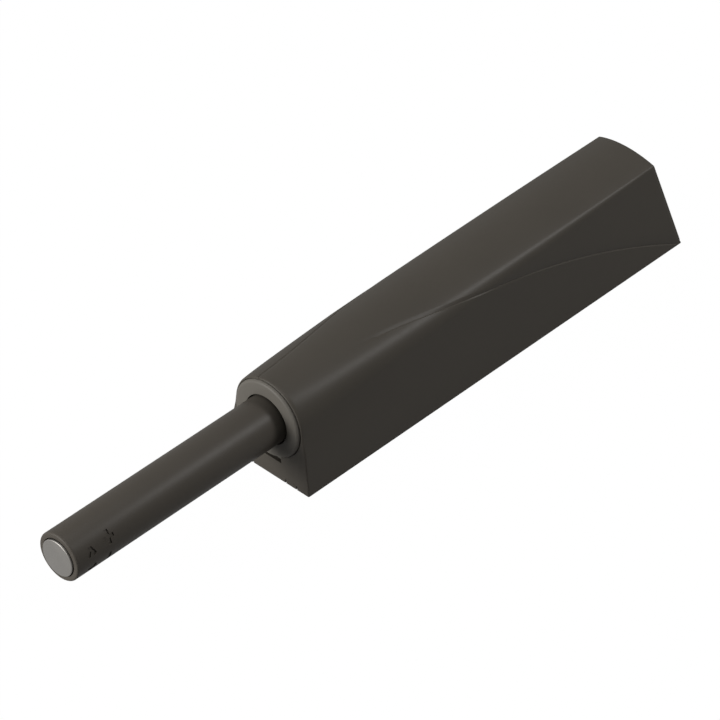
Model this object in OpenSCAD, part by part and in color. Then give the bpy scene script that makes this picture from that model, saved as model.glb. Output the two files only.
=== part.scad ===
// Touch latch: a magnetic push plunger in a drop-in cartridge, held in a screw-on housing.
// X runs from the plunger tip (negative) to the rear of the housing, Z is up,
// and the origin is the front lower edge of the housing, on its centre line.

/* [Plunger] */
// Diameter of the plunger tube
plunger_d = 7.6; // [7:0.1:9]
// Wall of the plunger tube
plunger_wall = 0.85; // [0.6:0.05:1]
// Length of plunger that still stands out when it is pushed right in
tip_left_out = 2.02; // [1:0.01:4]
// Round on the rim of the plunger tip
tip_round = 0.3; // [0.1:0.05:0.4]
// Length of the tube behind the front of the housing, at rest
tube_tail = 10; // [8:0.5:14]
// Thickness of the web behind the magnet socket
socket_web = 1.5; // [1:0.1:3]

/* [Magnet] */
// Diameter of the magnet
magnet_d = 5.75; // [5:0.05:6]
// Thickness of the magnet
magnet_t = 3; // [2:0.1:5]
// Height of the magnet above the rim of the tip
magnet_proud = 0.3; // [0:0.05:0.5]
// Thickness of the steel plate behind the magnet
back_plate_t = 1; // [0.5:0.1:2]
// Thickness of the wall round the magnet
socket_rim = 0.8; // [0.6:0.05:0.85]

/* [Travel] */
// Full travel of the plunger
travel = 38.3; // [30:0.1:42]
// Depth adjustment each way
adjust_range = 2; // [1:0.1:3]
// Travel of the plunger for one turn of the adjusting thread
thread_pitch = 1; // [0.5:0.1:1.5]

/* [Cartridge] */
// Wall of the cartridge sleeve
sleeve_wall = 0.7; // [0.6:0.05:1]
// Width by which the front collar stands out round the sleeve
collar_lip = 1.23; // [1:0.01:1.6]
// Thickness of the front collar
collar_t = 1.4; // [1.2:0.1:2.5]
// Height of the collar above the front face of the housing
collar_proud = 0.5; // [0.3:0.05:0.8]
// Round on the front edge of the collar
collar_round = 0.5; // [0.1:0.05:0.6]
// Visible gap between the plunger and the mouth of the collar
mouth_gap = 0.2; // [0.15:0.01:0.5]
// Thickness of the wall of the guide bush
bush_wall = 0.45; // [0.4:0.05:0.8]
// Thickness of the buffer ring that the carriage stops on
stop_ring_t = 1.6; // [1:0.1:3]

/* [Carriage] */
// Length of the carriage
carriage_len = 20; // [18:0.5:24]
// Thickness of the front wall of the carriage
carriage_web = 3; // [2:0.1:4]
// Diameter of the adjusting spindle
spindle_d = 3.8; // [3:0.1:4]
// Length of spindle in front of the innermost setting of the nut
spindle_reach = 1; // [0.5:0.1:3]
// Length of the thread nut
nut_len = 6; // [4:0.5:8]
// Room left between the thread nut and the clip at the innermost setting
nut_room = 6.2; // [0.5:0.1:8]
// Thickness of the flange of the adjusting ring
ring_flange_t = 1.2; // [0.8:0.1:2]
// Length of the splined hub of the adjusting ring
ring_hub_len = 7.3; // [6:0.1:9]
// Width of the splines of the adjusting ring
spline_w = 0.8; // [0.6:0.05:1.2]
// Height of the splines of the adjusting ring
spline_h = 0.35; // [0.2:0.05:0.4]

/* [Latch] */
// Diameter of the latch wire
wire_d = 0.6; // [0.5:0.05:0.7]
// Length of the arm of the latch wire
arm_len = 10; // [9:0.5:12]
// Sideways reach of the tip of the latch wire
arm_swing = 1.4; // [1.2:0.05:1.5]
// Depth of the cam track
track_depth = 0.7; // [0.6:0.05:0.8]
// Length of the cam track from the rear of the carriage
track_len = 14; // [13:0.5:16]
// Length of the cam track that the wire has passed when the plunger is pushed right in
track_used = 12; // [11:0.5:12.5]
// Length of the cam track at its mouth, before it widens
track_mouth = 1; // [0.5:0.1:1.5]
// Length of the slope that widens the cam track
track_slope = 2; // [1.5:0.1:3]
// Length of the island that the wire hooks on
island_len = 6.5; // [5:0.5:8]
// Length of the cam track in front of the island
island_lead = 3.6; // [3:0.1:4]
// Depth of the hook in the front of the island
hook_depth = 0.6; // [0.4:0.1:0.8]
// Length by which the outer horn of the hook stands in front of the inner one
hook_lead = 0.3; // [0.1:0.1:0.5]
// Length of the slope at the back of the island
island_slope = 1.5; // [1:0.1:2.5]
// Width of the band clip that holds the leg of the latch wire
band_w = 1.8; // [1.2:0.1:2.4]
// Width of the mouth of the band clip
band_mouth = 5; // [4:0.5:7]

/* [Springs] */
// Outer diameter of the main spring
spring_d = 4; // [3.6:0.1:4.2]
// Wire of the main spring
spring_wire = 0.5; // [0.4:0.05:0.5]
// Turns of the main spring
spring_turns = 30; // [20:1:32]
// Diameter of the spring guide rod
guide_d = 2.4; // [2:0.1:2.8]

/* [Rear] */
// Thickness of the rear buffer pad
buffer_t = 0.75; // [0.5:0.05:1.5]
// Length of the plug of the end cap
cap_plug_len = 1.2; // [1:0.1:3]
// Thickness of the flange of the end cap
cap_flange_t = 1; // [0.6:0.1:2]

/* [Housing] */
// Height of the plunger axis above the mounting plane
axis_height = 10.15; // [10:0.05:12]
// Half width of the housing at its foot
foot_half = 7.78; // [7.6:0.02:8.2]
// Wall of the flanks beside the cartridge, at the rear
flank_wall = 1.08; // [1:0.01:1.3]
// Wall of the front face
front_wall = 2; // [1.6:0.1:3]
// Wall of the raked rear face
rear_wall = 1.1; // [0.9:0.1:2]
// Lean of the rear face from upright, in degrees
rear_rake = 16.4; // [5:0.1:20]
// Thickness of the rim round the seat of the collar
front_rim = 0.25; // [0.15:0.01:0.4]
// How far the nose draws in towards the collar
neck_depth = 0.31; // [0.1:0.01:0.5]
// Length over which the nose draws in
neck_len = 20; // [10:1:30]
// Drop below the plunger axis over which the drawn-in nose flares to the flanks
neck_drop = 3; // [2:0.1:5]
// Radius of the arched top at the rear
arch_r_rear = 13; // [9:0.1:20]
// Radius of the shoulders at the rear
shoulder_r_rear = 0.4; // [0.3:0.05:2]
// Power of the law that turns the round nose into the arched top
crown_fade = 0.6; // [0.5:0.05:1.5]
// Power of the law that draws the flanks in towards the rear
flank_fade = 2; // [1:0.1:3]
// Round on the edge of the front face
front_edge = 0.1; // [0.04:0.01:0.12]
// Width of the pry notch under the collar
notch_w = 4.7; // [3:0.1:5]
// Depth of the pry notch below the collar seat
notch_drop = 0.7; // [0.5:0.05:1.2]
// Depth of the pry notch into the front wall
notch_depth = 1.5; // [1:0.1:1.6]

/* [Mounting plate] */
// Thickness of the mounting plate
plate_t = 1.8; // [1.5:0.1:2.5]
// Distance between the two screw holes
screw_spacing = 32; // [25:1:40]
// Diameter of the screw holes
screw_d = 3.8; // [3:0.1:4.2]
// Depth of the countersinks
sink_depth = 1.2; // [0.8:0.1:1.4]
// Distance from each screw hole to the saddle and the snap ribs beyond it
saddle_reach = 8; // [6:0.5:10]
// Distance from the centre line to the inner edge of each front tab slot
tab_in = 3.2; // [2:0.05:3.5]
// Width of each front tab slot
tab_slot_w = 2.25; // [1.5:0.05:2.6]
// Height of each front tab slot
tab_slot_h = 0.75; // [0.5:0.05:1]
// Half width of the saddles under the sleeve
saddle_half = 3.2; // [2:0.1:3.6]
// Thickness of the saddles
saddle_t = 1.6; // [1:0.1:3]
// Radius of the snap ribs
snap_r = 0.45; // [0.3:0.05:0.5]
// Length of each snap rib
snap_len = 8; // [4:0.5:12]

/* [Clearances] */
// Radial clearance of a running fit
run_gap = 0.05; // [0.02:0.01:0.1]
// Radial clearance of a seated piece
seat_gap = 0.02; // [0.01:0.01:0.04]
// Gap round the collar in its seat
collar_gap = 0.07; // [0.05:0.01:0.12]
// Gap between the sleeve and the cavity of the housing
cavity_gap = 0.15; // [0.1:0.01:0.3]
// Radial gap of the carriage in the sleeve
carriage_gap = 0.1; // [0.05:0.01:0.15]
// Free play along the axis between parts that meet at a stop
end_play = 0.05; // [0.02:0.01:0.1]
// Gap round the mounting plate and its tabs
plate_gap = 0.15; // [0.1:0.01:0.2]

/* [Hidden] */

anthracite = [0.21, 0.2, 0.185];
steel = [0.66, 0.66, 0.64];
magnet_grey = [0.5, 0.48, 0.45];
brass = [0.72, 0.6, 0.34];
rubber = [0.1, 0.1, 0.1];
acetal = [0.85, 0.84, 0.8];

over = 0.5;             // how far a cut runs past the face that it opens
fn_round = 64;          // facets of an ordinary round
fn_fine = 24;           // facets of a thin wire or a small ball

// Radii about the plunger axis, from the inside out
plunger_r = plunger_d / 2;
tube_bore_r = plunger_r - plunger_wall;
socket_r = plunger_r - socket_rim;
magnet_r = magnet_d / 2;
mouth_r = plunger_r + mouth_gap;
bush_bore_r = plunger_r + run_gap;
bore_r = bush_bore_r + bush_wall;
sleeve_r = bore_r + sleeve_wall;
collar_r = sleeve_r + collar_lip;
carriage_r = bore_r - carriage_gap;
spindle_r = spindle_d / 2;
guide_r = guide_d / 2;
spring_r = spring_d / 2;
hollow_r = spring_r + 0.2;
wire_r = wire_d / 2;
cavity_r = sleeve_r + cavity_gap;
flank_dist = cavity_r + flank_wall;
seat_r = collar_r + collar_gap;
crown_r = seat_r + front_rim + neck_depth;

// Places along the plunger, from the tip to the rear
tip_x = -(travel + tip_left_out);
magnet_x = tip_x - magnet_proud;
back_plate_x = magnet_x + magnet_t;
socket_x = back_plate_x + back_plate_t + seat_gap;
collar_back_x = collar_t - collar_proud;
ring_x = tube_tail + adjust_range + 0.3;
ring_back_x = ring_x + ring_flange_t;
disc_space = 0.55;
carriage_x = ring_back_x + disc_space;
stop_x = carriage_x - end_play - stop_ring_t;
carriage_back_x = carriage_x + carriage_len;
buffer_x = carriage_back_x + travel + 2 * end_play;
cap_x = buffer_x + buffer_t;
cap_flange_x = cap_x + cap_plug_len;
cap_back_x = cap_flange_x + cap_flange_t;

// Adjusting gear
clip_t = 0.6;
clip_groove = 0.3;
key_w = 1.2;
hub_x = ring_x - ring_hub_len;
clip_x = hub_x - clip_t - end_play;
nut_x = clip_x - adjust_range - nut_room - nut_len;
spindle_x = nut_x - adjust_range - spindle_reach;
hub_r = tube_bore_r - 2 * run_gap;

// Cam track on the underside of the carriage
track_flat = carriage_r - 1;
track_floor = track_flat - track_depth;
arm_drop = track_flat + wire_r + 0.15;
arm_tip_x = carriage_back_x + travel - track_used;
pivot_x = arm_tip_x + arm_len;
lane_half = wire_r + 0.15;
swing_angle = asin(arm_swing / arm_len);

// Housing
rear_slope = tan(rear_rake);
housing_len = cap_back_x + 0.2 + rear_wall / cos(rear_rake)
            + rear_slope * (axis_height + cavity_r);
screw_mid_x = housing_len / 2;
snap_places = [for (side = [-1, 1]) screw_mid_x + side * (screw_spacing / 2 + saddle_reach)];
saddle_places = concat(snap_places, [screw_mid_x]);
snap_z = 1;

// Turns a shape drawn along Z so that it runs along X on the plunger axis
module on_axis(x) {
  translate([x, 0, axis_height]) rotate([0, 90, 0]) children();
}

// Round bar along the plunger axis
module bar(x, r, len) {
  on_axis(x) cylinder(r = r, h = len, $fn = fn_round);
}

// Tube along the plunger axis
module tube(x, r_out, r_in, len) {
  difference() {
    bar(x, r_out, len);
    bar(x - over, r_in, len + 2 * over);
  }
}

// Outline of the housing at a share of its length: crown arc, shoulder arc, flat flank and foot
crown_steps = 6;
shoulder_steps = 8;
neck_steps = 6;
least_share = 0.0002;
foot_r = norm([foot_half, axis_height]);

// Lean of the flank that rises from the foot and passes the plunger axis at a distance
function lean_of(side) = acos(side / foot_r) - atan2(axis_height, foot_half);
side_lean = lean_of(flank_dist);

function mix(a, b, t) = a + (b - a) * t;
function ease(t) = let (c = max(0, min(1, t))) c * c * (3 - 2 * c);
function arc(centre, r, a0, a1, steps, first = 0) =
  [for (i = [first:steps]) centre + r * [cos(mix(a0, a1, i / steps)), sin(mix(a0, a1, i / steps))]];

// Centre of the shoulder arc, which touches the crown arc inside and the flank line
function shoulder_centre(crown, shoulder, side, lean) =
  let (up = [-sin(lean), cos(lean)],
       start = (side - shoulder) * [cos(lean), sin(lean)],
       back = start - [0, crown_r - crown],
       along = back * up,
       gap = back * back - (crown - shoulder) * (crown - shoulder))
  start + (sqrt(max(0, along * along - gap)) - along) * up;

// The nose draws in round the collar and flares back to the flanks below the plunger axis
function draw_in(p, share) =
  let (near = max(0, 1 - share * housing_len / neck_len))
  p * (1 - neck_depth * near * ease(1 + p[1] / neck_drop) / norm(p));

function half_outline(share, inset) =
  let (u = max(share, least_share),
       crown = mix(crown_r, arch_r_rear, pow(u, crown_fade)),
       shoulder = mix(crown_r, shoulder_r_rear, pow(u, crown_fade)),
       side = mix(crown_r, flank_dist, pow(u, flank_fade)),
       lean = lean_of(side),
       crown_c = [0, crown_r - crown],
       shoulder_c = shoulder_centre(crown, shoulder, side, lean),
       meet = atan2(shoulder_c[1] - crown_c[1], shoulder_c[0]),
       flank_heights = [for (i = [0:neck_steps]) -neck_drop * i / neck_steps])
  [for (p = concat(arc(crown_c, crown - inset, 90, meet, crown_steps),
                   arc(shoulder_c, shoulder - inset, meet, lean, shoulder_steps, 1),
                   [for (z = concat(flank_heights, [-axis_height]))
                     [foot_half - (z + axis_height) * tan(lean) - inset / cos(lean), z]]))
    draw_in(p, share)];

function reversed(list) = [for (i = [len(list) - 1:-1:0]) list[i]];

function ring_at(share, inset, x_front) =
  let (half = half_outline(share, inset),
       loop = concat(reversed(half), [for (i = [1:len(half) - 1]) [-half[i][0], half[i][1]]]))
  [for (p = loop) let (z = p[1] + axis_height)
    [x_front + share * (housing_len - rear_slope * z), p[0], z]];

// Stations along the housing: share of the length, inset of the outline, offset from the front
body_stations = 24;
edge_stations = 3;
station_bias = 1.3;
stations = concat([for (i = [0:edge_stations]) let (a = 90 * i / edge_stations)
                     [0, front_edge * (1 - sin(a)), front_edge * (1 - cos(a))]],
                  [for (i = [1:body_stations]) [pow(i / body_stations, station_bias), 0, 0]]);

module skin() {
  rings = [for (s = stations) ring_at(s[0], s[1], s[2])];
  n = len(rings[0]);
  m = len(rings);
  polyhedron(
    points = [for (r = rings) for (p = r) p],
    faces = concat(
      [for (k = [0:m - 2]) for (i = [0:n - 1]) let (j = (i + 1) % n)
        [k * n + i, k * n + j, (k + 1) * n + j]],
      [for (k = [0:m - 2]) for (i = [0:n - 1]) let (j = (i + 1) % n)
        [k * n + i, (k + 1) * n + j, (k + 1) * n + i]],
      [[for (i = [n - 1:-1:0]) i]],
      [[for (i = [0:n - 1]) (m - 1) * n + i]]));
}

// Prism along X whose section is a polygon in Y and Z
module prism_x(x, len, points) {
  translate([x, 0, 0]) rotate([90, 0, 90]) linear_extrude(height = len) polygon(points);
}

// Everything in front of a plane that leans with the rear face, a distance inside it
module ahead_of_rear(distance) {
  rotate([0, -rear_rake, 0])
    translate([-2 * housing_len, -housing_len, -housing_len])
      cube([2 * housing_len + cos(rear_rake) * housing_len - distance, 2 * housing_len, 2 * housing_len]);
}

function cavity_half(z) = cavity_r / cos(side_lean) + (axis_height - z) * tan(side_lean);

module cavity() {
  bar(front_wall, cavity_r, cap_back_x + 0.1 - front_wall);
  top = axis_height;
  intersection() {
    prism_x(front_wall, housing_len,
      [[-cavity_half(-over), -over], [cavity_half(-over), -over], [cavity_half(top), top], [-cavity_half(top), top]]);
    ahead_of_rear(rear_wall);
  }
}

module snap_ribs(r, len) {
  for (x = snap_places) for (side = [-1, 1])
    translate([x - len / 2, side * (cavity_half(snap_z) - plate_gap - snap_r + 0.25), snap_z])
      rotate([0, 90, 0]) cylinder(r = r, h = len, $fn = fn_fine);
}

module tab_blocks(shrink, x, len) {
  for (side = [-1, 1])
    translate([x, side * (tab_in + tab_slot_w / 2) - (tab_slot_w / 2 - shrink), -over * (shrink == 0 ? 1 : 0)])
      cube([len, tab_slot_w - 2 * shrink, tab_slot_h - shrink + over * (shrink == 0 ? 1 : 0)]);
}

module housing() {
  color(anthracite) difference() {
    skin();
    cavity();
    bar(-over, sleeve_r + collar_gap, front_wall + 2 * over);
    bar(-over, seat_r, over + collar_back_x);
    translate([-over, -notch_w / 2, axis_height - seat_r - notch_drop])
      cube([over + notch_depth, notch_w, notch_drop + collar_lip / 2]);
    tab_blocks(0, -over, front_wall + 2 * over);
    snap_ribs(snap_r + 0.1, snap_len + 0.4);
  }
}

module mounting_plate() {
  plate_x = front_wall + plate_gap;
  plate_end = housing_len - rear_slope * plate_t - rear_wall / cos(rear_rake) - plate_gap;
  color(anthracite) difference() {
    union() {
      prism_x(plate_x, plate_end - plate_x,
        [[plate_gap - cavity_half(0), 0], [cavity_half(0) - plate_gap, 0],
         [cavity_half(plate_t) - plate_gap, plate_t], [plate_gap - cavity_half(plate_t), plate_t]]);
      tab_blocks(plate_gap, 0, plate_x + 1);
      snap_ribs(snap_r, snap_len);
      for (x = saddle_places)
        translate([x - saddle_t / 2, -saddle_half, plate_t / 2])
          cube([saddle_t, 2 * saddle_half, axis_height - plate_t / 2 - sleeve_r * 0.6]);
    }
    bar(0, sleeve_r + run_gap, housing_len);
    for (side = [-1, 1]) translate([screw_mid_x + side * screw_spacing / 2, 0, 0]) {
      translate([0, 0, -over]) cylinder(d = screw_d, h = plate_t + 2 * over, $fn = fn_round);
      translate([0, 0, plate_t - sink_depth])
        cylinder(r1 = screw_d / 2, r2 = screw_d / 2 + sink_depth, h = sink_depth, $fn = fn_round);
    }
  }
}

// Sleeve and collar are one moulding: the profile is radius against place along the axis
module cartridge_sleeve() {
  color(anthracite) difference() {
    on_axis(0) rotate_extrude($fn = fn_round) polygon(concat(
      [[mouth_r, collar_back_x], [mouth_r, -collar_proud]],
      arc([collar_r - collar_round, collar_round - collar_proud], collar_round, -90, 0, 6),
      [[collar_r, collar_back_x], [sleeve_r, collar_back_x], [sleeve_r, cap_flange_x],
       [bore_r, cap_flange_x], [bore_r, collar_back_x]]));
    translate([stop_x, -key_w / 2 - run_gap, axis_height])
      cube([cap_flange_x - stop_x + over, key_w + 2 * run_gap, bore_r + 0.35]);
    translate([pivot_x, 0, axis_height - sleeve_r - over])
      cylinder(r = wire_r + run_gap, h = sleeve_r, $fn = fn_fine);
    difference() {
      bar(pivot_x - band_w / 2 - plate_gap, sleeve_r + over, band_w + 2 * plate_gap);
      bar(pivot_x - band_w, sleeve_r - clip_groove, 2 * band_w);
    }
  }
}

module guide_bush() {
  color(acetal) difference() {
    bar(collar_back_x, bore_r - seat_gap, stop_x - collar_back_x);
    bar(collar_back_x - over, bush_bore_r, stop_x);
  }
}

module stop_ring() {
  color(rubber) tube(stop_x, bore_r - seat_gap, mouth_r, stop_ring_t);
}

module plunger_tube() {
  socket_len = socket_x - tip_x;
  color(anthracite) difference() {
    on_axis(tip_x) rotate_extrude($fn = fn_round) polygon(concat(
      [[0, socket_len], [socket_r, socket_len], [socket_r, 0]],
      arc([plunger_r - tip_round, tip_round], tip_round, -90, 0, 5),
      [[plunger_r, tube_tail - tip_x], [tube_bore_r, tube_tail - tip_x],
       [tube_bore_r, socket_len + socket_web], [0, socket_len + socket_web]]));
    for (side = [0, 180]) on_axis(tube_tail - ring_hub_len) rotate([0, 0, side + 90])
      translate([0, -spline_w / 2 - run_gap, 0])
        cube([tube_bore_r + spline_h, spline_w + 2 * run_gap, ring_hub_len + over]);
  }
}

module magnet() {
  edge = 0.12;
  color(magnet_grey) on_axis(magnet_x) rotate_extrude($fn = fn_round)
    polygon([[0, 0], [magnet_r - edge, 0], [magnet_r, edge], [magnet_r, magnet_t], [0, magnet_t]]);
}

module magnet_back_plate() {
  color(steel) bar(back_plate_x, socket_r - seat_gap, back_plate_t);
}

module thread_nut() {
  color(brass) tube(nut_x, tube_bore_r - seat_gap, spindle_r + run_gap, nut_len);
}

module adjusting_spindle() {
  color(steel) difference() {
    bar(spindle_x, spindle_r, carriage_x + carriage_web - spindle_x);
    difference() {
      bar(clip_x - end_play, spindle_r + over, clip_t + 2 * end_play);
      bar(clip_x - over, spindle_r - clip_groove, clip_t + 2 * over);
    }
  }
}

module adjusting_ring() {
  color(acetal) difference() {
    union() {
      bar(ring_x, plunger_r - run_gap, ring_flange_t);
      bar(hub_x, hub_r, ring_hub_len + ring_flange_t / 2);
      for (side = [0, 180]) on_axis(hub_x) rotate([0, 0, side + 90])
        translate([0, -spline_w / 2, 0])
          cube([hub_r + spline_h, spline_w, ring_hub_len + ring_flange_t / 2]);
    }
    bar(hub_x - over, spindle_r + run_gap, ring_hub_len + ring_flange_t + 2 * over);
  }
}

// Open retaining clip in the groove of the spindle
module retaining_clip() {
  mouth = spindle_r * 1.2;
  color(steel) difference() {
    tube(clip_x, hub_r - 0.25, spindle_r - clip_groove + seat_gap, clip_t);
    translate([clip_x - over, -mouth / 2, axis_height])
      cube([clip_t + 2 * over, mouth, plunger_r]);
  }
}

// Dished disc spring that presses the adjusting ring forward and makes it click
module disc_spring() {
  t = 0.2;
  inner = spindle_r + 0.1;
  outer = plunger_r - 0.35;
  rise = disc_space - t;
  color(steel) on_axis(ring_back_x) rotate_extrude($fn = fn_round)
    polygon([[inner, rise], [outer, 0], [outer, t], [inner, rise + t]]);
}

// Island of the cam track, with the hook that the wire rests in
module island() {
  front = track_len - island_lead;
  back = front - island_len;
  inner = lane_half;
  outer = arm_swing - lane_half;
  linear_extrude(height = track_depth + 0.2)
    polygon([[-back, inner], [-front, inner], [-front + hook_depth, (inner + outer) / 2],
             [-front - hook_lead, outer], [-back - island_slope, outer]]);
}

module cam_track() {
  translate([carriage_back_x, 0, axis_height - track_flat - 0.2]) difference() {
    linear_extrude(height = track_depth + 0.2)
      polygon([[over, -lane_half], [-track_len, -lane_half], [-track_len, arm_swing + lane_half],
               [-track_mouth - track_slope, arm_swing + lane_half], [-track_mouth, lane_half],
               [over, lane_half]]);
    island();
  }
}

module carriage() {
  color(acetal) difference() {
    union() {
      bar(carriage_x, carriage_r, carriage_len);
      translate([carriage_x, -key_w / 2, axis_height])
        cube([carriage_len, key_w, bore_r + 0.25]);
    }
    bar(carriage_x + carriage_web, hollow_r, carriage_len);
    bar(carriage_x - over, spindle_r + seat_gap, carriage_web + 2 * over);
    translate([carriage_x + carriage_web, -carriage_r, axis_height - carriage_r - over])
      cube([carriage_len, 2 * carriage_r, carriage_r + over - track_flat]);
    cam_track();
  }
}

// Helix of round wire with closed end turns, as one tube swept along its centre line
module helix(x, length, r_mid, r_wire, turns) {
  steps = 12;
  sides = 6;
  rise = length - 2 * r_wire;
  closed = 1;
  closed_rise = 2.05 * r_wire;
  function climb(t) = t < closed ? t * closed_rise
    : t > turns - closed ? rise - (turns - t) * closed_rise
    : closed * closed_rise + (t - closed) / (turns - 2 * closed) * (rise - 2 * closed * closed_rise);
  n = turns * steps;
  points = [for (k = [0:n]) for (s = [0:sides - 1]) let (t = k / steps, a = 360 * t, b = 360 * s / sides)
    [(r_mid + r_wire * cos(b)) * cos(a), (r_mid + r_wire * cos(b)) * sin(a), r_wire + climb(t) + r_wire * sin(b)]];
  on_axis(x) polyhedron(points = points, faces = concat(
    [for (k = [0:n - 1]) for (s = [0:sides - 1]) let (q = (s + 1) % sides)
      [k * sides + s, (k + 1) * sides + s, (k + 1) * sides + q, k * sides + q]],
    [[for (s = [0:sides - 1]) s]],
    [[for (s = [sides - 1:-1:0]) n * sides + s]]));
}

module main_spring() {
  front = carriage_x + carriage_web;
  color(steel) helix(front + seat_gap, cap_x - front - 2 * seat_gap, spring_r - spring_wire / 2,
                     spring_wire / 2, spring_turns);
}

module spring_guide() {
  reach = carriage_len - carriage_web - 1;
  color(steel) bar(cap_x - reach, guide_r, reach + cap_plug_len);
}

module end_cap() {
  color(anthracite) difference() {
    union() {
      bar(cap_x, bore_r - seat_gap, cap_plug_len + cap_flange_t / 2);
      bar(cap_flange_x, sleeve_r, cap_flange_t);
    }
    bar(cap_x - over, guide_r + seat_gap, cap_plug_len + over);
  }
}

module buffer_pad() {
  color(rubber) tube(buffer_x, carriage_r - 0.1, hollow_r, buffer_t);
}

// Bent wire: a leg in the sleeve, an arm along it and a tip that rides in the cam track
module latch_wire() {
  leg_end = sleeve_r - clip_groove - seat_gap;
  tip_end = track_floor + 0.15;
  color(steel) {
    translate([pivot_x, 0, axis_height - leg_end]) cylinder(r = wire_r, h = leg_end - arm_drop, $fn = fn_fine);
    translate([arm_tip_x, 0, axis_height - arm_drop]) {
      rotate([0, 90, 0]) cylinder(r = wire_r, h = arm_len, $fn = fn_fine);
      cylinder(r = wire_r, h = arm_drop - tip_end, $fn = fn_fine);
      sphere(r = wire_r, $fn = fn_fine);
      translate([arm_len, 0, 0]) sphere(r = wire_r, $fn = fn_fine);
    }
  }
}

// Open band in the groove of the sleeve that keeps the leg of the latch wire in its hole
module wire_clip() {
  color(steel) difference() {
    tube(pivot_x - band_w / 2, sleeve_r - seat_gap, sleeve_r - clip_groove + seat_gap, band_w);
    translate([pivot_x - band_w, -band_mouth / 2, axis_height]) cube([2 * band_w, band_mouth, sleeve_r + over]);
  }
}

housing();
mounting_plate();
cartridge_sleeve();
guide_bush();
stop_ring();
plunger_tube();
magnet();
magnet_back_plate();
thread_nut();
adjusting_spindle();
adjusting_ring();
retaining_clip();
disc_spring();
carriage();
main_spring();
spring_guide();
end_cap();
buffer_pad();
latch_wire();
wire_clip();
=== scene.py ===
"""Dresses a touch latch with its finished surfaces, materials, light and camera."""

from math import acos, atan2, cos, degrees, hypot, pi, radians, sin, sqrt, tan

import bmesh
import bpy
from bpy.props import FloatProperty, FloatVectorProperty, IntProperty, PointerProperty
from bpy.types import Operator, Panel, PropertyGroup
from mathutils import Matrix, Vector


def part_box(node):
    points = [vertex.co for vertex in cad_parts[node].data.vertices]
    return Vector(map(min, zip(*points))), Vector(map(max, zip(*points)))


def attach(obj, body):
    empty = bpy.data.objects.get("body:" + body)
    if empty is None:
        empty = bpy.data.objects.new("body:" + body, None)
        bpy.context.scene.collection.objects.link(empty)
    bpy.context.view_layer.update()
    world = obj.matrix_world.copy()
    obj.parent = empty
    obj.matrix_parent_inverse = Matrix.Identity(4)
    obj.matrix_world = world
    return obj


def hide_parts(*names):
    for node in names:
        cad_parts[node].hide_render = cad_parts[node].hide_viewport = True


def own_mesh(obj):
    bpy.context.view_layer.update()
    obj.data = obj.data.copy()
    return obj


bl_info = {
    "name": "Touch Latch",
    "version": (1, 0, 0),
    "blender": (4, 5, 0),
    "location": "View3D > Sidebar > Touch Latch",
    "description": "Builds the moulded housing, plunger and fittings of a push latch",
    "category": "Object",
}

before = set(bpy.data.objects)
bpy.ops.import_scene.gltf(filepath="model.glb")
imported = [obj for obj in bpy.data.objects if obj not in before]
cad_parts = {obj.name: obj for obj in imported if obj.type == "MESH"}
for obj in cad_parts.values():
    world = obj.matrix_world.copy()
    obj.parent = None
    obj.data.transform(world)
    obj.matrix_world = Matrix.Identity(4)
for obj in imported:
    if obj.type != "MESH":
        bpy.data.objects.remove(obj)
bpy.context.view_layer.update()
MM = 0.001


def size_mm(node):
    """Lowest and highest corner of a CAD node, in millimetres."""
    low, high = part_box(node)
    return Vector(low) / MM, Vector(high) / MM


_, HOUSING_HIGH = size_mm("housing")
TUBE_LOW, TUBE_HIGH = size_mm("plunger_tube")
MAGNET_LOW, MAGNET_HIGH = size_mm("magnet")
SLEEVE_LOW, SLEEVE_HIGH = size_mm("cartridge_sleeve")
SPRING_LOW, SPRING_HIGH = size_mm("main_spring")
CAP_LOW, CAP_HIGH = size_mm("end_cap")
BUSH_LOW, BUSH_HIGH = size_mm("guide_bush")
_, WIRE_HIGH = size_mm("latch_wire")
STOP_LOW, _ = size_mm("stop_ring")
BACK_PLATE_LOW, BACK_PLATE_HIGH = size_mm("magnet_back_plate")

# Room that pieces leave about each other, as in the solids
PRESS_GAP = 0.02
SEAT_GAP = 0.07
END_GAP = 0.1
CAVITY_GAP = 0.15

# Places and radii about the plunger axis that follow from the solids
AXIS_Z = (TUBE_LOW.z + TUBE_HIGH.z) / 2
TIP_X = TUBE_LOW.x
TUBE_R = (TUBE_HIGH.z - TUBE_LOW.z) / 2
MAGNET_R = (MAGNET_HIGH.z - MAGNET_LOW.z) / 2
SOCKET_R = (BACK_PLATE_HIGH.z - BACK_PLATE_LOW.z) / 2 + PRESS_GAP
COLLAR_R = (SLEEVE_HIGH.z - SLEEVE_LOW.z) / 2
SLEEVE_R = (CAP_HIGH.z - CAP_LOW.z) / 2
BORE_R = (BUSH_HIGH.z - BUSH_LOW.z) / 2 + PRESS_GAP
SEAT_R = COLLAR_R + SEAT_GAP
SEAT_X = BUSH_LOW.x
CAVITY_R = SLEEVE_R + CAVITY_GAP

# Where cutters start, in front of the housing or below it, and how far they reach past a wall
OUTSIDE = -1
PAST = 0.5

# Points nearer than MERGE are one; SLIVER is the same for what a cut leaves, in millimetres
MERGE = 1e-5
SLIVER = 2e-4


def length(name, text, value):
    """A size in millimetres for the sidebar."""
    text += ", in millimetres"
    return FloatProperty(name=name, description=text, default=value, min=0, precision=3)


def angle(name, text, value):
    """An angle for the sidebar, given in degrees."""
    return FloatProperty(name=name, description=text, subtype="ANGLE", default=radians(value))


def number(name, text, value):
    """A plain number for the sidebar."""
    return FloatProperty(name=name, description=text, default=value)


def count(name, text, value, low):
    """A whole number for the sidebar."""
    return IntProperty(name=name, description=text, default=value, min=low)


def colour(name, text, value):
    """A linear colour for the sidebar."""
    return FloatVectorProperty(
        name=name, description=text, subtype="COLOR", size=3, min=0, max=1, default=value
    )


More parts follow.
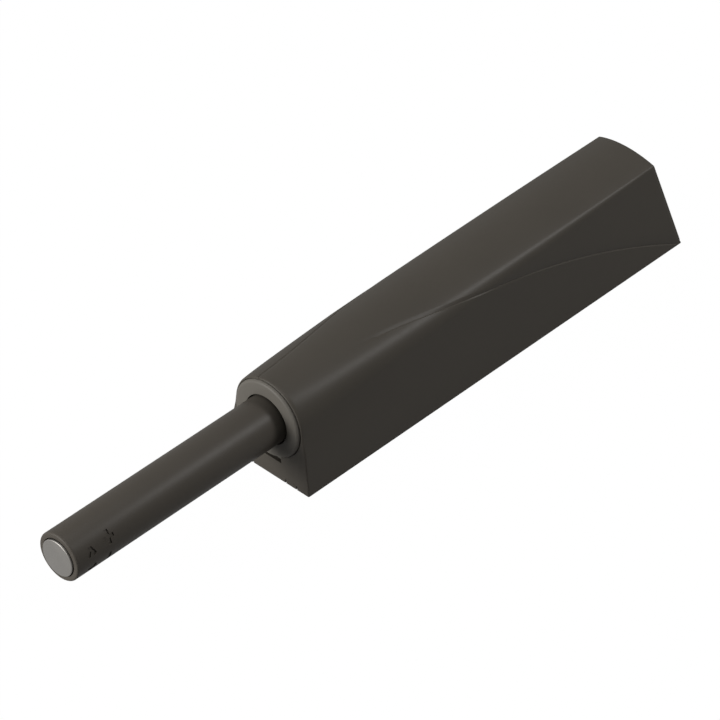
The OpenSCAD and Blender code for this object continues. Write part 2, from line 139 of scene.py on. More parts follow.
def lamp_power(name, value):
    """The power of a lamp for the sidebar."""
    text = "Power of the %s light" % name.lower()
    return FloatProperty(name=name, description=text, subtype="POWER", default=value)


class LatchHousingSettings(PropertyGroup):
    """Sizes of the moulded housing."""

    flank_wall: length("Flank wall", "Wall of the flanks beside the cartridge, at the rear", 1.08)
    front_wall: length("Front wall", "Wall of the front face", 2.0)
    rear_wall: length("Rear wall", "Wall of the raked rear face", 1.1)
    rake: angle("Rear rake", "Lean of the rear face from upright", 16.4)
    neck_depth: length("Neck depth", "How far the nose draws in towards the collar", 0.31)
    neck_len: length("Neck length", "Length over which the nose draws in", 20.0)
    neck_drop: length("Neck drop", "Drop below the axis over which the nose flares out", 3.0)
    arch_r: length("Arch radius", "Radius of the arched top at the rear", 13.0)
    shoulder_r: length("Shoulder radius", "Radius of the shoulders at the rear", 0.4)
    crown_fade: number("Crown law", "Power of the law that flattens the crown", 0.6)
    flank_fade: number("Flank law", "Power of the law that draws the flanks in", 2.0)
    edge: length("Front edge", "Round on the edge of the front face", 0.2)
    seat_lip: length("Seat lip", "Round on the rim of the collar seat", 0.04)
    rear_edge: length("Rear edge", "Round on the edge of the rear face", 0.3)
    stations: count("Stations", "Sections along the housing", 110, 20)
    columns: count("Columns", "Columns on each side of the parting line", 30, 10)
    seam_upper: length("Parting upper side", "Width of the witness line's gentle side", 0.55)
    seam_lower: length("Parting lower side", "Width of the witness line's steep side", 0.17)
    seam_depth: length("Parting depth", "Depth of the witness line of the mould slides", 0.1)
    seam_top: length("Parting height", "Height of the witness line above the axis", 6.22)
    seam_left: length("Left parting start", "Where the left witness line starts to fall", 3.0)
    seam_right: length("Right parting start", "Where the right witness line starts to fall", 12.8)
    seam_end: length("Parting end", "Where the witness lines meet the lower edge", 80.6)
    seam_fade: length("Right parting fade", "Where the right witness line starts to show", 13.0)
    seam_fade_len: length("Right fade length", "Length over which it gains its depth", 8.0)
    notch_width: length("Notch width", "Width of the pry notch under the collar", 4.7)
    notch_drop: length("Notch drop", "Depth of the pry notch below the collar seat", 0.7)
    notch_depth: length("Notch depth", "Depth of the pry notch into the front wall", 1.5)
    tab_in: length("Tab place", "Distance from the centre line to each front tab slot", 3.15)
    tab_width: length("Tab width", "Width of each front tab slot", 2.35)
    tab_height: length("Tab height", "Height of each front tab slot", 0.63)


class LatchPlungerSettings(PropertyGroup):
    """Sizes of the plunger and its tip."""

    rim_round: length("Rim round", "Round on the rim of the tip", 0.3)
    wall: length("Tube wall", "Wall of the plunger tube", 0.85)
    web: length("Socket web", "Thickness of the web behind the magnet socket", 1.5)
    mark_depth: length("Mark depth", "Depth of the marks on the tip", 0.15)
    mark_stroke: length("Mark stroke", "Width of the strokes of the marks", 0.58)
    plus_x: length("Plus place", "Distance from the tip to the plus", 6.2)
    plus_angle: angle("Plus angle", "Angle of the plus round the tube", 152)
    minus_angle: angle("Minus angle", "Angle of the minus round the tube", 204)
    mark_size: length("Mark size", "Length of the strokes of the plus and the minus", 1.9)
    arrow_turn: angle("Arrow turn", "Angle that the sides of the arrows reach round the tube", 19)
    arrow_x: length("Arrow place", "Distance from the tip to the points of the arrows", 2.8)
    groove_width: length("Groove width", "Width of the grooves for the adjusting ring", 0.9)
    groove_depth: length("Groove depth", "Depth of the grooves in the bore", 0.35)
    groove_len: length("Groove length", "Length of the grooves from the tail", 7.3)


class LatchSleeveSettings(PropertyGroup):
    """Sizes of the cartridge sleeve and its collar."""

    edge: length("Collar edge", "Round on the outer edge of the collar", 0.5)
    lip: length("Mouth lip", "Round on the edge of the mouth", 0.1)
    mouth_gap: length("Mouth gap", "Room between the mouth and the plunger tube", 0.2)
    key_side: length("Key side gap", "Room on each side of the key in the notch", 0.08)
    key_end: length("Key end gap", "Room before and behind the key in the notch", 0.1)
    key_way_width: length("Key way width", "Width of the key way of the carriage", 1.3)
    key_way_depth: length("Key way depth", "Depth of the key way in the bore", 0.35)
    leg_hole: length("Leg hole", "Diameter of the hole for the leg of the latch wire", 0.7)
    clip_width: length("Clip groove width", "Width of the groove for the wire clip", 2.1)
    clip_depth: length("Clip groove depth", "Depth of the groove for the wire clip", 0.3)


class LatchSpringSettings(PropertyGroup):
    """Sizes of the main spring."""

    wire_r: length("Wire radius", "Radius of the round wire", 0.25)
    turns: count("Turns", "Turns of the spring, with the closed turn at each end", 30, 4)
    closed: number("Closed pitch", "Pitch of the closed turns as a share of the radius", 2.05)


class LatchFinishSettings(PropertyGroup):
    """Colours of the finishes."""

    housing: colour("Housing", "Moulded plastic of the housing", (0.0485, 0.043, 0.0355))
    plunger: colour("Plunger", "Moulded plastic of the plunger", (0.0505, 0.0445, 0.037))
    magnet: colour("Magnet", "Plating of the magnet", (0.175, 0.167, 0.155))
    steel: colour("Steel", "Bright steel", (0.56, 0.56, 0.55))
    brass: colour("Brass", "Turned brass", (0.62, 0.43, 0.17))
    acetal: colour("Acetal", "Natural acetal", (0.70, 0.69, 0.64))
    rubber: colour("Rubber", "Black rubber", (0.018, 0.018, 0.018))
    sleeve: colour("Sleeve", "Moulded plastic of the cartridge sleeve", (0.089, 0.082, 0.071))


class LatchStageSettings(PropertyGroup):
    """Light and camera."""

    key: lamp_power("Key", 2.7)
    low: lamp_power("Low", 3.5)
    over: lamp_power("Over", 1.25)
    behind: lamp_power("Behind", 2.1)
    sky: number("Sky", "Strength of the even light", 0.02)


# Shader maths


class Wire:
    """A shader socket that can be used in a Python expression."""

    def __init__(self, material, socket):
        self.material = material
        self.socket = socket

    def op(self, operation, first, second):
        return self.material.node(
            "ShaderNodeMath", {"operation": operation}, {0: first, 1: second}
        )

    def __add__(self, other):
        return self.op("ADD", self, other)

    def __radd__(self, other):
        return self.op("ADD", other, self)

    def __sub__(self, other):
        return self.op("SUBTRACT", self, other)

    def __rsub__(self, other):
        return self.op("SUBTRACT", other, self)

    def __mul__(self, other):
        return self.op("MULTIPLY", self, other)

    def __rmul__(self, other):
        return self.op("MULTIPLY", other, self)

    def clamp(self, low, high, out_low, out_high):
        """Maps low to high on to out_low to out_high, and holds the ends."""
        ends = {"From Min": low, "From Max": high, "To Min": out_low, "To Max": out_high}
        return self.material.node("ShaderNodeMapRange", {"clamp": True}, {"Value": self, **ends})


class Finish:
    """A node material with one method for any node."""

    def __init__(self, name="", world=None):
        self.data = world or bpy.data.materials.new(name)
        self.data.use_nodes = True
        self.tree = self.data.node_tree
        self.tree.nodes.clear()
        kind = "ShaderNodeOutputWorld" if world else "ShaderNodeOutputMaterial"
        self.output = self.tree.nodes.new(kind)

    def node(self, kind, settings=None, sockets=None, out=0):
        """Adds a node, sets it, fills its sockets, and returns one output as a Wire."""
        node = self.tree.nodes.new(kind)
        for name, value in (settings or {}).items():
            setattr(node, name, value)
        for name, value in (sockets or {}).items():
            socket = node.inputs[name]
            if isinstance(value, Wire):
                self.tree.links.new(value.socket, socket)
            elif socket.type == "RGBA" and len(value) == 3:
                socket.default_value = (*value, 1)
            else:
                socket.default_value = value
        return Wire(self, node.outputs[out])

    def place(self, scale=(1, 1, 1)):
        """Object coordinates in metres, stretched by scale."""
        where = self.node("ShaderNodeTexCoord", out=3)
        return self.node("ShaderNodeMapping", {}, {"Vector": where, "Scale": scale})

    def noise(self, vector, scale, detail, roughness):
        sockets = {"Vector": vector, "Scale": scale, "Detail": detail, "Roughness": roughness}
        return self.node("ShaderNodeTexNoise", {}, sockets)

    def mix(self, factor, first, second):
        """Mixes two colours."""
        sockets = {0: factor, 6: first, 7: second}
        return self.node("ShaderNodeMix", {"data_type": "RGBA"}, sockets, out=2)

    def bump(self, height, strength, distance):
        sockets = {"Height": height, "Strength": strength, "Distance": distance}
        return self.node("ShaderNodeBump", {}, sockets)

    def principled(self, **sockets):
        sockets = {name.replace("_", " "): value for name, value in sockets.items()}
        return self.node("ShaderNodeBsdfPrincipled", {}, sockets)

    def surface(self, **sockets):
        """The Principled shader, joined to the output."""
        return self.finish(self.principled(**sockets))

    def finish(self, shader):
        """Joins a shader to the output."""
        self.tree.links.new(shader.socket, self.output.inputs["Surface"])
        return self.data

    def seen(self):
        """1 on rays from the camera, a mirror or a glass, which see the white background."""
        camera = self.node("ShaderNodeLightPath", out=0)
        glossy = self.node("ShaderNodeLightPath", out="Is Glossy Ray")
        clear = self.node("ShaderNodeLightPath", out="Is Transmission Ray")
        return camera.op("MAXIMUM", camera, glossy.op("MAXIMUM", glossy, clear))


def tinted(shade, factor):
    return tuple(min(1.0, c * factor) for c in shade)


# Share of the moulded grain that mirrors the light
PEAK_SHARE = 0.26


def moulded_plastic(name, shade, roughness):
    """Satin moulding: a spark-eroded grain with a faint cloud, dull but for its peaks."""
    finish = Finish(name)
    where = finish.place()
    cloud = finish.noise(where, 90, 3, 0.55)
    grain = finish.noise(where, 5200, 2, 0.6)
    speck = finish.noise(where, 1500, 2, 0.5)
    tone = cloud.clamp(0.3, 0.7, 0, 1)
    base = finish.mix(tone, tinted(shade, 0.97), tinted(shade, 1.03))
    gloss = roughness + (cloud - 0.5) * 0.05 + (speck - 0.5) * 0.06
    relief = finish.bump(grain * 0.7 + speck * 0.3, 0.12, 0.00002)
    valleys = finish.principled(
        Base_Color=base, Roughness=0.9, Normal=relief, Specular_IOR_Level=0.0
    )
    peaks = finish.principled(
        Base_Color=base, Roughness=gloss, Normal=relief, Specular_IOR_Level=0.4
    )
    both = {0: PEAK_SHARE, 1: valleys, 2: peaks}
    return finish.finish(finish.node("ShaderNodeMixShader", {}, both))


def plated_magnet(name, shade):
    """Satin nickel: a faint cloud and very fine scratches from tumbling."""
    finish = Finish(name)
    where = finish.place()
    cloud = finish.noise(where, 260, 3, 0.55)
    grain = finish.noise(where, 7000, 2, 0.6)
    base = finish.mix(cloud.clamp(0.3, 0.7, 0, 1), tinted(shade, 0.96), tinted(shade, 1.04))
    gloss = 0.42 + (cloud - 0.5) * 0.08
    relief = finish.bump(grain, 0.08, 0.00001)
    return finish.surface(Base_Color=base, Metallic=1.0, Roughness=gloss, Normal=relief)


def drawn_metal(name, shade, roughness):
    """Drawn or turned metal: fine lines round the axis of the part."""
    finish = Finish(name)
    lines = finish.noise(finish.place((14, 1, 1)), 900, 3, 0.6)
    cloud = finish.noise(finish.place(), 220, 2, 0.5)
    base = finish.mix(cloud.clamp(0.3, 0.7, 0, 1), tinted(shade, 0.93), tinted(shade, 1.05))
    gloss = roughness + (lines - 0.5) * 0.14
    relief = finish.bump(lines, 0.15, 0.00001)
    return finish.surface(Base_Color=base, Metallic=1.0, Roughness=gloss, Normal=relief)


def soft_rubber(name, shade):
    """Matt rubber with a dusty bloom."""
    finish = Finish(name)
    bloom = finish.noise(finish.place(), 700, 4, 0.6)
    base = finish.mix(bloom.clamp(0.35, 0.75, 0, 1), shade, tinted(shade, 1.8))
    gloss = 0.78 + (bloom - 0.5) * 0.1
    relief = finish.bump(bloom, 0.2, 0.00001)
    return finish.surface(Base_Color=base, Roughness=gloss, Normal=relief)


# The maker of each finish, its colour in the settings, and its roughness where it takes one
MAKERS = {
    "housing plastic": (moulded_plastic, "housing", 0.42),
    "plunger plastic": (moulded_plastic, "plunger", 0.42),
    "sleeve plastic": (moulded_plastic, "sleeve", 0.45),
    "magnet plating": (plated_magnet, "magnet"),
    "drawn steel": (drawn_metal, "steel", 0.3),
    "turned brass": (drawn_metal, "brass", 0.28),
    "natural acetal": (moulded_plastic, "acetal", 0.38),
    "black rubber": (soft_rubber, "rubber"),
}
FINISHES = {}


def finish_for(name):
    """The material of a finish, made once."""
    if name not in FINISHES:
        maker, shade, *roughness = MAKERS[name]
        shade = tuple(getattr(bpy.context.scene.latch_finish, shade))
        FINISHES[name] = maker(name, shade, *roughness)
    return FINISHES[name]


# Mesh helpers


def lathe(mesh, profile, steps=144):
    """Spins a closed outline of (place along X, radius) round the plunger axis."""
    verts = [mesh.verts.new((x, 0, r)) for x, r in profile]
    pairs = zip(verts, verts[1:] + verts[:1])
    edges = [mesh.edges.new(pair) for pair in pairs if max(v.co.z for v in pair) > 0]
    bmesh.ops.spin(
        mesh, geom=verts + edges, cent=(0, 0, 0), axis=(1, 0, 0), dvec=(0, 0, 0),
        angle=2 * pi, steps=steps, use_merge=True, use_normal_flip=False, use_duplicate=False,
    )
    bmesh.ops.remove_doubles(mesh, verts=mesh.verts, dist=MERGE)
    bmesh.ops.translate(mesh, vec=(0, 0, AXIS_Z), verts=mesh.verts)
    bmesh.ops.recalc_face_normals(mesh, faces=mesh.faces)


def rounded(centre, radius, start, end, steps=6):
    """Points of an arc in the (place, radius) plane; angles in degrees."""
    return [
        (centre[0] + radius * cos(radians(start + (end - start) * i / steps)),
         centre[1] + radius * sin(radians(start + (end - start) * i / steps)))
        for i in range(steps + 1)
    ]


def block(mesh, low, high):
    """A box between two corners."""
    made = bmesh.ops.create_cube(mesh, size=1)["verts"]
    middle = [(a + b) / 2 for a, b in zip(low, high)]
    span = [b - a for a, b in zip(low, high)]
    bmesh.ops.scale(mesh, vec=span, verts=made)
    bmesh.ops.translate(mesh, vec=middle, verts=made)


def post(mesh, centre, radius, low, high, steps=32):
    """A round post along Z."""
    made = bmesh.ops.create_cone(
        mesh, cap_ends=True, cap_tris=False, segments=steps, radius1=radius, radius2=radius,
        depth=high - low,
    )["verts"]
    bmesh.ops.translate(mesh, vec=(*centre, (low + high) / 2), verts=made)


def as_object(mesh, name):
    """Turns a bmesh in millimetres into an object at the origin, in metres."""
    bmesh.ops.scale(mesh, vec=(MM, MM, MM), verts=mesh.verts)
    data = bpy.data.meshes.new(name)
    mesh.to_mesh(data)
    mesh.free()
    obj = bpy.data.objects.new(name, data)
    bpy.context.scene.collection.objects.link(obj)
    return obj


def carve(obj, cutters, operation="DIFFERENCE"):
    """Cuts the cutters out of the object, or joins them to it, and removes them."""
    # The exact solver leaves open slivers at metre scale, so it works in millimetres here
    for piece in (obj, *cutters):
        piece.data.transform(Matrix.Scale(1 / MM, 4))
    for cutter in cutters:
        tool = obj.modifiers.new("carve", "BOOLEAN")
        tool.operation = operation
        tool.solver = "EXACT"
        tool.object = cutter
    bpy.context.view_layer.update()
    result = obj.evaluated_get(bpy.context.evaluated_depsgraph_get())
    solid = bpy.data.meshes.new_from_object(result)
    obj.modifiers.clear()
    mesh = bmesh.new()
    mesh.from_mesh(solid)
    bmesh.ops.remove_doubles(mesh, verts=mesh.verts, dist=SLIVER)
    bmesh.ops.dissolve_degenerate(mesh, dist=SLIVER, edges=mesh.edges)
    bmesh.ops.scale(mesh, vec=(MM, MM, MM), verts=mesh.verts)
    mesh.to_mesh(solid)
    mesh.free()
    old = obj.data
    obj.data = solid
    bpy.data.meshes.remove(old)
    for cutter in cutters:
        data = cutter.data
        bpy.data.objects.remove(cutter)
        bpy.data.meshes.remove(data)
    return obj


def cutter(maker, *places):
    """An object made by maker(mesh, *places), to carve with."""
    mesh = bmesh.new()
    maker(mesh, *places)
    return as_object(mesh, "cutter")


def dress(obj, body, finish, nodes=(), sharp=32):
    """Gives a piece its shading, material and body, and hides the CAD nodes that it stands for."""
    obj.data.name = obj.name
    obj.data.shade_smooth()
    obj.data.set_sharp_from_angle(angle=radians(sharp))
    obj.data.materials.clear()
    obj.data.materials.append(finish_for(finish))
    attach(obj, body)
    if nodes:
        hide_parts(*nodes)
    return obj


# Housing


def mix(a, b, t):
    return a + (b - a) * t


def ease(t):
    """Smooth step from 0 to 1."""
    c = max(0.0, min(1.0, t))
    return c * c * (3 - 2 * c)


def arc_points(centre, radius, start, end, steps):
    """Points of an arc in the section of the housing; angles in radians."""
    angles = [mix(start, end, i / steps) for i in range(steps + 1)]
    return [centre + radius * Vector((cos(a), sin(a))) for a in angles]


class HousingLaw:
    """The section of the housing at a share of its length, as in the solids."""

    # Points of the three runs of the dense section, and the smallest share that it is made for
    CROWN, SHOULDER, FLANK = 40, 60, 90
    LEAST_SHARE = 0.0002
    # Length and turn, in radians, that one column takes up at most
    STEP_LEN, STEP_TURN = 1.2, 0.05
    # Room that the witness line keeps from the foot
    FOOT_ROOM = 0.25

    def __init__(self, s):
        self.s = s
        self.length = HOUSING_HIGH.x
        self.slope = tan(s.rake)
        self.crown_r = HOUSING_HIGH.z - AXIS_Z
        self.foot = HOUSING_HIGH.y
        self.flank_dist = CAVITY_R + s.flank_wall

    def lean_of(self, side):
        """Lean of the flank that rises from the foot and passes the axis at a distance."""
        return acos(side / hypot(self.foot, AXIS_Z)) - atan2(AXIS_Z, self.foot)

    def half(self, share, inset):
        """Dense points from crown to foot about the plunger axis, before the nose draws in."""
        s = self.s
        u = max(share, self.LEAST_SHARE)
        crown = mix(self.crown_r, s.arch_r, u ** s.crown_fade)
        shoulder = mix(self.crown_r, s.shoulder_r, u ** s.crown_fade)
        side = mix(self.crown_r, self.flank_dist, u ** s.flank_fade)
        lean = self.lean_of(side)
        crown_c = Vector((0, self.crown_r - crown))
        up = Vector((-sin(lean), cos(lean)))
        start = (side - shoulder) * Vector((cos(lean), sin(lean)))
        back = start - crown_c
        along = back.dot(up)
        gap = back.dot(back) - (crown - shoulder) ** 2
        shoulder_c = start + (sqrt(max(0, along * along - gap)) - along) * up
        meet = atan2(shoulder_c.y - crown_c.y, shoulder_c.x)
        points = arc_points(crown_c, crown - inset, pi / 2, meet, self.CROWN)
        points += arc_points(shoulder_c, shoulder - inset, meet, lean, self.SHOULDER)[1:]
        top = points[-1].y
        for i in range(1, self.FLANK + 1):
            z = mix(top, -AXIS_Z, i / self.FLANK)
            y = self.foot - (z + AXIS_Z) * tan(lean) - inset / cos(lean)
            points.append(Vector((y, z)))
        return points

    def draw_in(self, point, share):
        """Draws a point of the nose in towards the collar."""
        near = max(0, 1 - share * self.length / self.s.neck_len)
        drop = ease(1 + point.y / self.s.neck_drop)
        return point * (1 - self.s.neck_depth * near * drop / point.length)

    def x_at(self, share, z):
        return share * (self.length - self.slope * (z + AXIS_Z))

    def seam_z(self, x, start):
        """Height of the witness line above the axis: level, then an arc down to the foot."""
        s = self.s
        if x <= start:
            return s.seam_top
        run, drop = s.seam_end - start, s.seam_top + AXIS_Z
        radius = (run * run + drop * drop) / (2 * drop)
        return s.seam_top - radius + sqrt(max(0, radius * radius - (x - start) ** 2))

    def crossing(self, share, points, lengths, start):
        """Length along the section at which it meets the witness line."""
        above = []
        for p in points:
            z = self.draw_in(p, share).y
            above.append(z - self.seam_z(self.x_at(share, z), start))
        for i in range(1, len(points)):
            if above[i] <= 0 < above[i - 1]:
                return mix(lengths[i - 1], lengths[i], above[i - 1] / (above[i - 1] - above[i]))
        return lengths[-1]

    def columns(self, share, inset, start, depth):
        """Points of the half section, closer on tight curves and gathered at the witness line."""
        s = self.s
        points = self.half(share, inset)
        lengths, weight = [0.0], [0.0]
        for i in range(1, len(points)):
            step = points[i] - points[i - 1]
            after = points[i + 1] - points[i] if i + 1 < len(points) else step
            lengths.append(lengths[-1] + step.length)
            turn = abs(step.angle(after, 0))
            weight.append(weight[-1] + step.length / self.STEP_LEN + turn / self.STEP_TURN)

        def spot(values, target):
            """Index and share of the step that holds a value."""
            i = next((i for i in range(1, len(values)) if values[i] >= target), len(values) - 1)
            gap = max(1e-12, values[i] - values[i - 1])
            return i, min(1, (target - values[i - 1]) / gap)

        def point(values, target):
            i, t = spot(values, target)
            return points[i - 1].lerp(points[i], t)

        meets = self.crossing(share, points, lengths, start)
        cross = min(meets, lengths[-1] - self.FOOT_ROOM)
        edges = []
        for place in (cross - s.seam_upper, cross + s.seam_lower):
            i, t = spot(lengths, place)
            edges.append(mix(weight[i - 1], weight[i], t))
        out = [point(weight, edges[0] * i / s.columns) for i in range(s.columns + 1)]
        for part in (1 / 3, 2 / 3, 1):
            place = cross - s.seam_upper * (1 - part)
            i, _ = spot(lengths, place)
            run = (points[i] - points[i - 1]).normalized()
            out.append(point(lengths, place) + depth * part * Vector((run.y, -run.x)))
        for i in range(s.columns + 1):
            out.append(point(weight, mix(edges[1], weight[-1], i / s.columns)))
        return [self.draw_in(p, share) for p in out]


def housing_shell(s):
    """Closed outer form of the housing from a grid wrapped round its sections."""
    law = HousingLaw(s)
    quarter = [pi / 2 * i / 4 for i in range(5)]
    crowding = 1.2  # brings the sections closer together at the nose
    rows = [(0.0, s.edge * (1 - sin(a)), s.edge * (1 - cos(a))) for a in quarter]
    rows += [((i / s.stations) ** crowding, 0.0, 0.0) for i in range(1, s.stations)]
    rows += [(1.0, s.rear_edge * (1 - cos(a)), -s.rear_edge * (1 - sin(a))) for a in quarter]
    sections = []
    for share, inset, shift in rows:
        fade = ease((share * law.length - s.seam_fade) / s.seam_fade_len)
        left = law.columns(share, inset, s.seam_left, s.seam_depth)
        right = law.columns(share, inset, s.seam_right, s.seam_depth * fade)
        loop = [Vector((-p.x, p.y)) for p in reversed(right)] + left[1:]
        sections.append([Vector((law.x_at(share, p.y) + shift, p.x, p.y + AXIS_Z)) for p in loop])
    around = len(sections[0])
    mesh = bmesh.new()
    bmesh.ops.create_grid(mesh, x_segments=len(rows) - 1, y_segments=around, size=1)
    for vert in mesh.verts:
        row = round((vert.co.x + 1) / 2 * (len(rows) - 1))
        column = round((vert.co.y + 1) / 2 * around)
        vert.co = sections[row][column % around]
    bmesh.ops.remove_doubles(mesh, verts=mesh.verts, dist=MERGE)
    bmesh.ops.holes_fill(mesh, edges=[e for e in mesh.edges if e.is_boundary], sides=0)
    bmesh.ops.recalc_face_normals(mesh, faces=mesh.faces)
    if mesh.calc_volume(signed=True) < 0:
        bmesh.ops.reverse_faces(mesh, faces=mesh.faces)
    return mesh


class LATCH_OT_housing(Operator):
    """Build the moulded housing with its collar seat, notch, tab slots and hollow underside"""

    bl_idname = "latch.housing"
    bl_label = "Housing"

    def execute(self, context):
        s = context.scene.latch_housing
        obj = as_object(housing_shell(s), "housing_shell")
        side_lean = HousingLaw(s).lean_of(CAVITY_R + s.flank_wall)
        hole_r, cavity_end = SLEEVE_R + SEAT_GAP, CAP_HIGH.x + END_GAP
        wall, lip = s.front_wall, s.seat_lip

        def seat(mesh):
            rim = rounded((lip, SEAT_R + lip), lip, 180, 270, 5)
            throat = [(SEAT_X, SEAT_R), (SEAT_X, hole_r), (wall + PAST, hole_r), (wall + PAST, 0)]
            lathe(mesh, [(OUTSIDE, 0), (OUTSIDE, SEAT_R + lip)] + rim + throat)

        def notch(mesh):
            low, half, into_seat = AXIS_Z - SEAT_R - s.notch_drop, s.notch_width / 2, 0.6
            high = low + s.notch_drop + into_seat
            block(mesh, (OUTSIDE, -half, low), (s.notch_depth, half, high))

        def slots(mesh):
            for side in (-1, 1):
                near, far = sorted((side * s.tab_in, side * (s.tab_in + s.tab_width)))
                block(mesh, (OUTSIDE, near, OUTSIDE), (wall + PAST, far, s.tab_height))

        def hollow(mesh):
            profile = [(wall, 0), (wall, CAVITY_R), (cavity_end, CAVITY_R), (cavity_end, 0)]
            lathe(mesh, profile, steps=130)

        def trough(mesh):
            # Starts just behind the hollow, so that no face of the two lies in one plane
            front, back = wall + 0.02, HOUSING_HIGH.x - s.rear_wall / cos(s.rake)
            for vert in bmesh.ops.create_cube(mesh, size=2)["verts"]:
                z = -PAST if vert.co.z < 0 else AXIS_Z
                half = CAVITY_R / cos(side_lean) + (AXIS_Z - z) * tan(side_lean)
                x = front if vert.co.x < 0 else back - tan(s.rake) * z
                vert.co = (x, half * vert.co.y, z)

        carve(obj, [cutter(shape) for shape in (seat, notch, slots, hollow, trough)])
        dress(obj, "base", "housing plastic", ["housing"])
        return {"FINISHED"}


# Plunger, magnet and sleeve


class LATCH_OT_plunger(Operator):
    """Build the plunger tube with its rounded rim, magnet socket and engraved tip marks"""

    bl_idname = "latch.plunger"
    bl_label = "Plunger tube"

    # Spread of the bar of the plus, and how much nearer the tip the minus stands
    PLUS_SPREAD, MINUS_SHIFT = 1.15, 0.15
    # Half the height of an arrow, and how far its point stands round the tube from its mark
    ARROW_HALF, PLUS_LEAD, MINUS_LEAD = 0.62, -3, 9
    # How far the bars stand out of the tube before they are cut
    LIFT = 0.2

    def execute(self, context):
        s = context.scene.latch_plunger
        tail, bore_r, lip = TUBE_HIGH.x, TUBE_R - s.wall, 0.05
        socket_end = BACK_PLATE_HIGH.x + PRESS_GAP
        mesh = bmesh.new()
        lathe(mesh, [(socket_end, 0), (socket_end, SOCKET_R)]
              + rounded((TIP_X + lip, SOCKET_R + lip), lip, 270, 180, 3)
              + rounded((TIP_X + s.rim_round, TUBE_R - s.rim_round), s.rim_round, 180, 90, 8)
              + rounded((tail - lip, TUBE_R - lip), lip, 90, 0, 3)
              + [(tail, bore_r), (socket_end + s.web, bore_r), (socket_end + s.web, 0)], steps=160)
        obj = as_object(mesh, "plunger_shell")
        carve(obj, [cutter(self.grooves)] + [cutter(self.mark, *line) for line in self.strokes()])
        dress(obj, "plunger", "plunger plastic", ["plunger_tube"])
        return {"FINISHED"}

    @staticmethod
    def grooves(mesh):
        """Two grooves that the adjusting ring turns the tube by."""
        s = bpy.context.scene.latch_plunger
        bore_r, tail, inside = TUBE_R - s.wall, TUBE_HIGH.x, 2.0
        start, half = tail - s.groove_len, s.groove_width / 2
        for side in (-1, 1):
            near, far = sorted((side * inside, side * (bore_r + s.groove_depth)))
            block(mesh, (start, -half, AXIS_Z + near), (tail + PAST, half, AXIS_Z + far))

    @classmethod
    def strokes(cls):
        """Strokes of the marks: two places behind the tip and round the axis, in degrees."""
        s = bpy.context.scene.latch_plunger
        plus, minus, turn = (degrees(a) for a in (s.plus_angle, s.minus_angle, s.arrow_turn))
        half = s.mark_size / 2
        arc = degrees(half / TUBE_R)
        x, wide, back = s.plus_x, cls.PLUS_SPREAD * arc, s.plus_x - cls.MINUS_SHIFT
        lines = [
            (x, plus - wide, x, plus + wide),
            (x - half, plus, x + half, plus),
            (back, minus - arc, back, minus + arc),
        ]
        x = s.arrow_x
        for head, reach in ((plus + cls.PLUS_LEAD, turn), (minus + cls.MINUS_LEAD, -turn)):
            for side in (-cls.ARROW_HALF, cls.ARROW_HALF):
                lines.append((x + side, head + reach, x, head))
        return lines

    @classmethod
    def mark(cls, mesh, x0, a0, x1, a1):
        """A bar wrapped on the tube, that sinks to the depth of the marks."""
        s = bpy.context.scene.latch_plunger
        run = Vector((x1 - x0, radians(a1 - a0) * TUBE_R))
        along = run.normalized()
        bmesh.ops.create_grid(mesh, x_segments=8, y_segments=1, size=1)
        lifted = bmesh.ops.extrude_face_region(mesh, geom=mesh.faces[:], use_keep_orig=True)
        top = {g for g in lifted["geom"] if isinstance(g, bmesh.types.BMVert)}
        for vert in mesh.verts:
            t, w = (vert.co.x + 1) / 2 * run.length, vert.co.y * s.mark_stroke / 2
            turn = radians(a0) + (along.y * t + along.x * w) / TUBE_R
            r = TUBE_R + cls.LIFT if vert in top else TUBE_R - s.mark_depth
            x = TIP_X + x0 + along.x * t - along.y * w
            vert.co = (x, r * cos(turn), AXIS_Z + r * sin(turn))
        bmesh.ops.recalc_face_normals(mesh, faces=mesh.faces)


class LATCH_OT_magnet(Operator):
    """Build the magnet with its small edge round"""

    bl_idname = "latch.magnet"
    bl_label = "Magnet"

    def execute(self, context):
        front, back, edge = MAGNET_LOW.x, MAGNET_HIGH.x, 0.12
        mesh = bmesh.new()
        lathe(mesh, [(front, 0)] + rounded((front + edge, MAGNET_R - edge), edge, 180, 90, 5)
              + rounded((back - edge, MAGNET_R - edge), edge, 90, 0, 5) + [(back, 0)], steps=128)
        obj = as_object(mesh, "magnet_disc")
        dress(obj, "plunger", "magnet plating", ["magnet"])
        return {"FINISHED"}


# Radius of the latch wire, whose leg stands in the sleeve
LEG_R = 0.3


